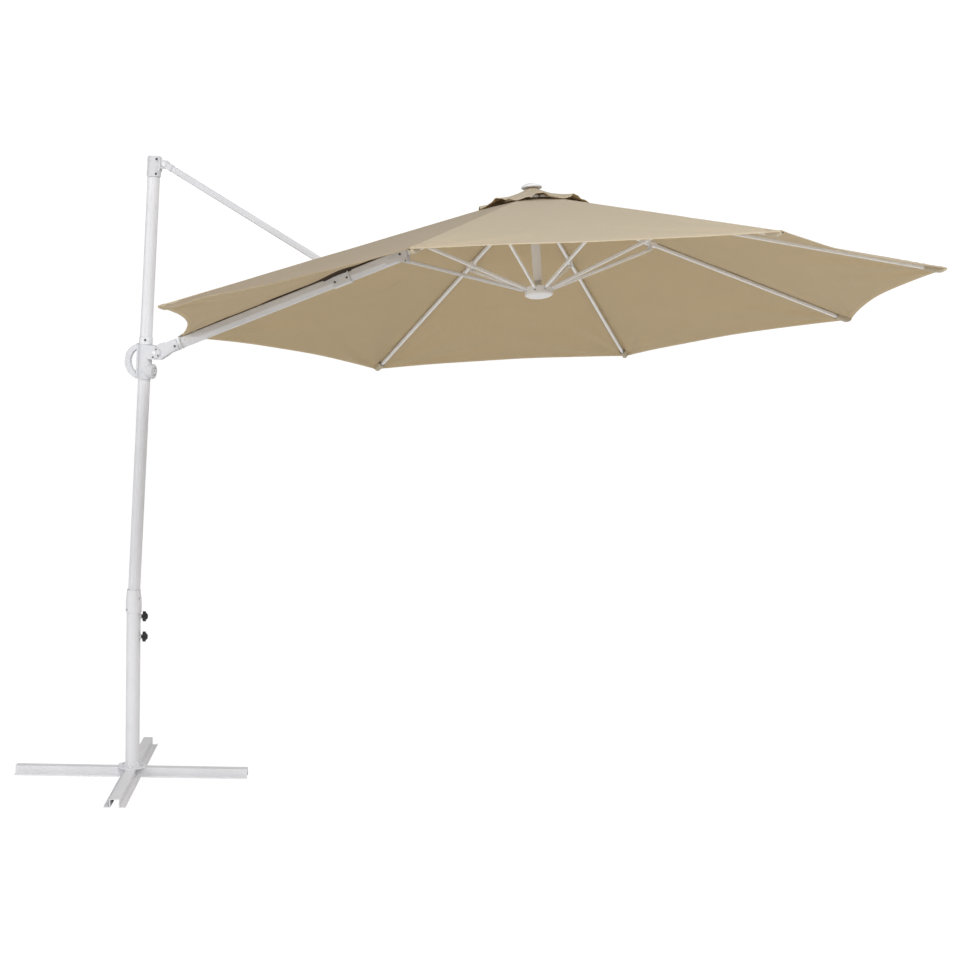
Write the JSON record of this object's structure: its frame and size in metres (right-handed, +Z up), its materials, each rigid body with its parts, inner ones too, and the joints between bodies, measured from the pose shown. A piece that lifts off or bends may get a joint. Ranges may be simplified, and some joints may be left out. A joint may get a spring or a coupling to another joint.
{
  "type": "cantilever parasol",
  "caption": "Side-post cantilever parasol with a fabric octagon canopy on folding ribs, a sliding arm with strut, and a low cross base.",
  "frame": {"origin": "centre of the base cross on the ground, on the axis of the lower tube", "axes": "+Z up, +X from the mast towards the canopy, +Y to the left of the arm seen from the mast"},
  "size_m": [3.6412, 2.9696, 2.5455],
  "materials": {
    "frame_white": "white powder coat, satin, fine orange peel",
    "plastic_white": "white moulded plastic, satin",
    "plastic_grey": "dark grey moulded plastic",
    "plastic_black": "black moulded plastic, fine texture",
    "steel": "zinc plated",
    "screw_dark": "darkened screws and pins",
    "canopy_cloth": "beige plain-woven polyester",
    "strap": "beige webbing"
  },
  "bodies": {
    "base": {"beam_long": "frame_white", "beam_cross": "frame_white", "base_plate": "frame_white", "base_bolts": "steel", "lower_tube": "frame_white", "swivel_bushes": "plastic_grey", "collar": "plastic_white"},
    "knob_upper": {"knob_upper": "plastic_black"},
    "knob_lower": {"knob_lower": "plastic_black"},
    "mast": {"mast_insert": "steel", "mast_pole": "frame_white", "mast_screws": "steel", "mast_cap": "plastic_white", "top_pin": "steel", "slider_stop": "plastic_white"},
    "strut": {"strut_tube": "frame_white", "strut_head": "plastic_white", "strut_foot": "plastic_white", "strut_pins": "steel"},
    "carrier": {"strut_sleeve": "plastic_white", "elbow": "plastic_white", "elbow_screws": "screw_dark"},
    "slider": {"slider": "plastic_white", "slider_liner": "plastic_grey", "handle": "plastic_white", "crank_housing": "plastic_white", "slider_pin": "screw_dark"},
    "crank_drive": {"crank_drive": "plastic_white"},
    "arm": {"arm_lower": "frame_white", "arm_upper": "frame_white", "arm_spigot": "steel", "arm_journal": "steel", "end_bracket": "frame_white", "arm_screws": "screw_dark", "arm_crown_end": "plastic_white", "corner_tie": "strap"},
    "crown": {"crown": "plastic_white", "crown_pins": "steel", "pole": "frame_white", "finial": "plastic_white", "canopy": "canopy_cloth", "vent_cap": "canopy_cloth"},
    "arm_stretcher": {"arm_stretcher": "frame_white"},
    "runner": {"runner": "plastic_white", "runner_pins": "steel", "inner_tube": "steel"},
    "rib_1": {"rib_1": "frame_white"},
    "stretcher_1": {"stretcher_1": "frame_white"},
    "rib_2": {"rib_2": "frame_white"},
    "stretcher_2": {"stretcher_2": "frame_white"},
    "rib_3": {"rib_3": "frame_white"},
    "stretcher_3": {"stretcher_3": "frame_white"},
    "rib_4": {"rib_4": "frame_white"},
    "stretcher_4": {"stretcher_4": "frame_white"},
    "rib_5": {"rib_5": "frame_white"},
    "stretcher_5": {"stretcher_5": "frame_white"},
    "rib_6": {"rib_6": "frame_white"},
    "stretcher_6": {"stretcher_6": "frame_white"},
    "rib_8": {"rib_8": "frame_white"},
    "stretcher_8": {"stretcher_8": "frame_white"}
  },
  "joints": [
    {"name": "mast_swivel", "type": "hinge", "parent": "base", "child": "mast", "pos_m": [0, 0, 0.5], "axis": [0, 0, 1], "continuous": true},
    {"name": "clamp_knob_upper", "type": "hinge", "parent": "base", "child": "knob_upper", "pos_m": [0.04787, 0.01445, 0.67], "axis": [0.9573, 0.289, 0], "range_deg": [0, 360]},
    {"name": "clamp_knob_lower", "type": "hinge", "parent": "base", "child": "knob_lower", "pos_m": [0.04787, 0.01445, 0.585], "axis": [0.9573, 0.289, 0], "range_deg": [0, 360]},
    {"name": "fold", "type": "hinge", "parent": "mast", "child": "strut", "pos_m": [0.12098, 0, 2.5114], "axis": [0, 1, 0], "range_deg": [0, 46]},
    {"name": "sleeve_hinge", "type": "hinge", "parent": "strut", "child": "carrier", "pos_m": [0.86279, 0, 2.10393], "axis": [0, 1, 0], "range_deg": [-92.01, 0.01]},
    {"name": "slider_hinge", "type": "hinge", "parent": "carrier", "child": "slider", "pos_m": [0.08985, 0, 1.75915], "axis": [0, 1, 0], "range_deg": [-0.01, 46.01]},
    {"name": "crank_turn", "type": "hinge", "parent": "slider", "child": "crank_drive", "pos_m": [0.07867, 0, 1.68255], "axis": [0.9991, 0, -0.0414], "continuous": true},
    {"name": "canopy_tilt", "type": "hinge", "parent": "carrier", "child": "arm", "pos_m": [0.46046, 0, 1.90964], "axis": [0.9265, 0, 0.3762], "range_deg": [-11.38, 28.62]},
    {"name": "canopy_close", "type": "hinge", "parent": "arm", "child": "crown", "pos_m": [1.58305, 0.00318, 2.38811], "axis": [0.0564, 0.9887, -0.1389], "range_deg": [0, 66], "deforming": ["canopy", "vent_cap"]},
    {"name": "rib_hinge_1", "type": "hinge", "parent": "crown", "child": "rib_1", "pos_m": [1.62597, -0.04399, 2.40094], "axis": [0.9894, -0.0367, 0.1402], "range_deg": [-0.01, 66.01]},
    {"name": "stretcher_hinge_1", "type": "hinge", "parent": "rib_1", "child": "stretcher_1", "pos_m": [1.62216, -0.53338, 2.29955], "axis": [0.9894, -0.0367, 0.1402], "range_deg": [-132.01, 0.01]},
    {"name": "rib_hinge_2", "type": "hinge", "parent": "crown", "child": "rib_2", "pos_m": [1.65891, -0.03187, 2.40363], "axis": [0.7395, 0.6731, 0.0009], "range_deg": [-0.01, 66.01]},
    {"name": "stretcher_hinge_2", "type": "hinge", "parent": "rib_2", "child": "stretcher_2", "pos_m": [1.9917, -0.39736, 2.32971], "axis": [0.7395, 0.6731, 0.0009], "range_deg": [-132.01, 0.01]},
    {"name": "rib_hinge_3", "type": "hinge", "parent": "crown", "child": "rib_3", "pos_m": [1.67408, -0.0002, 2.401], "axis": [0.0564, 0.9887, -0.1389], "range_deg": [-0.01, 66.01]},
    {"name": "stretcher_hinge_3", "type": "hinge", "parent": "rib_3", "child": "stretcher_3", "pos_m": [2.16181, -0.04217, 2.30023], "axis": [0.0564, 0.9887, -0.1389], "range_deg": [-132.01, 0.01]},
    {"name": "rib_hinge_4", "type": "hinge", "parent": "crown", "child": "rib_4", "pos_m": [1.66258, 0.03245, 2.3946], "axis": [-0.6598, 0.7251, -0.1973], "range_deg": [-0.01, 66.01]},
    {"name": "stretcher_hinge_4", "type": "hinge", "parent": "rib_4", "child": "stretcher_4", "pos_m": [2.03285, 0.32413, 2.22838], "axis": [-0.6598, 0.7251, -0.1973], "range_deg": [-132.01, 0.01]},
    {"name": "rib_hinge_5", "type": "hinge", "parent": "crown", "child": "rib_5", "pos_m": [1.63116, 0.04697, 2.38817], "axis": [-0.9894, 0.0367, -0.1402], "range_deg": [-0.01, 66.01]},
    {"name": "stretcher_hinge_5", "type": "hinge", "parent": "rib_5", "child": "stretcher_5", "pos_m": [1.68035, 0.48696, 2.15624], "axis": [-0.9894, 0.0367, -0.1402], "range_deg": [-132.01, 0.01]},
    {"name": "rib_hinge_6", "type": "hinge", "parent": "crown", "child": "rib_6", "pos_m": [1.59821, 0.03484, 2.38548], "axis": [-0.7395, -0.6731, -0.0009], "range_deg": [-0.01, 66.01]},
    {"name": "stretcher_hinge_6", "type": "hinge", "parent": "rib_6", "child": "stretcher_6", "pos_m": [1.31082, 0.35094, 2.12608], "axis": [-0.7395, -0.6731, -0.0009], "range_deg": [-132.01, 0.01]},
    {"name": "rib_hinge_8", "type": "hinge", "parent": "crown", "child": "rib_8", "pos_m": [1.59454, -0.02948, 2.39451], "axis": [0.6598, -0.7251, 0.1973], "range_deg": [-0.01, 66.01]},
    {"name": "stretcher_hinge_8", "type": "hinge", "parent": "rib_8", "child": "stretcher_8", "pos_m": [1.26967, -0.37055, 2.22742], "axis": [0.6598, -0.7251, 0.1973], "range_deg": [-132.01, 0.01]},
    {"name": "arm_stretcher_hinge", "type": "hinge", "parent": "arm", "child": "arm_stretcher", "pos_m": [1.1407, -0.00426, 2.15556], "axis": [0.0564, 0.9887, -0.1389], "range_deg": [-0.01, 132.01]},
    {"name": "runner_hinge", "type": "hinge", "parent": "arm_stretcher", "child": "runner", "pos_m": [1.62844, -0.04623, 2.05479], "axis": [0.0564, 0.9887, -0.1389], "range_deg": [-66.01, 0.01]}
  ],
  "couplings": [
    {"joint": "sleeve_hinge", "follows": "fold", "ratio": -2},
    {"joint": "slider_hinge", "follows": "fold", "ratio": 1},
    {"joint": "rib_hinge_1", "follows": "canopy_close", "ratio": 1},
    {"joint": "stretcher_hinge_1", "follows": "canopy_close", "ratio": -2},
    {"joint": "rib_hinge_2", "follows": "canopy_close", "ratio": 1},
    {"joint": "stretcher_hinge_2", "follows": "canopy_close", "ratio": -2},
    {"joint": "rib_hinge_3", "follows": "canopy_close", "ratio": 1},
    {"joint": "stretcher_hinge_3", "follows": "canopy_close", "ratio": -2},
    {"joint": "rib_hinge_4", "follows": "canopy_close", "ratio": 1},
    {"joint": "stretcher_hinge_4", "follows": "canopy_close", "ratio": -2},
    {"joint": "rib_hinge_5", "follows": "canopy_close", "ratio": 1},
    {"joint": "stretcher_hinge_5", "follows": "canopy_close", "ratio": -2},
    {"joint": "rib_hinge_6", "follows": "canopy_close", "ratio": 1},
    {"joint": "stretcher_hinge_6", "follows": "canopy_close", "ratio": -2},
    {"joint": "rib_hinge_8", "follows": "canopy_close", "ratio": 1},
    {"joint": "stretcher_hinge_8", "follows": "canopy_close", "ratio": -2},
    {"joint": "arm_stretcher_hinge", "follows": "canopy_close", "ratio": 2},
    {"joint": "runner_hinge", "follows": "canopy_close", "ratio": -1}
  ]
}
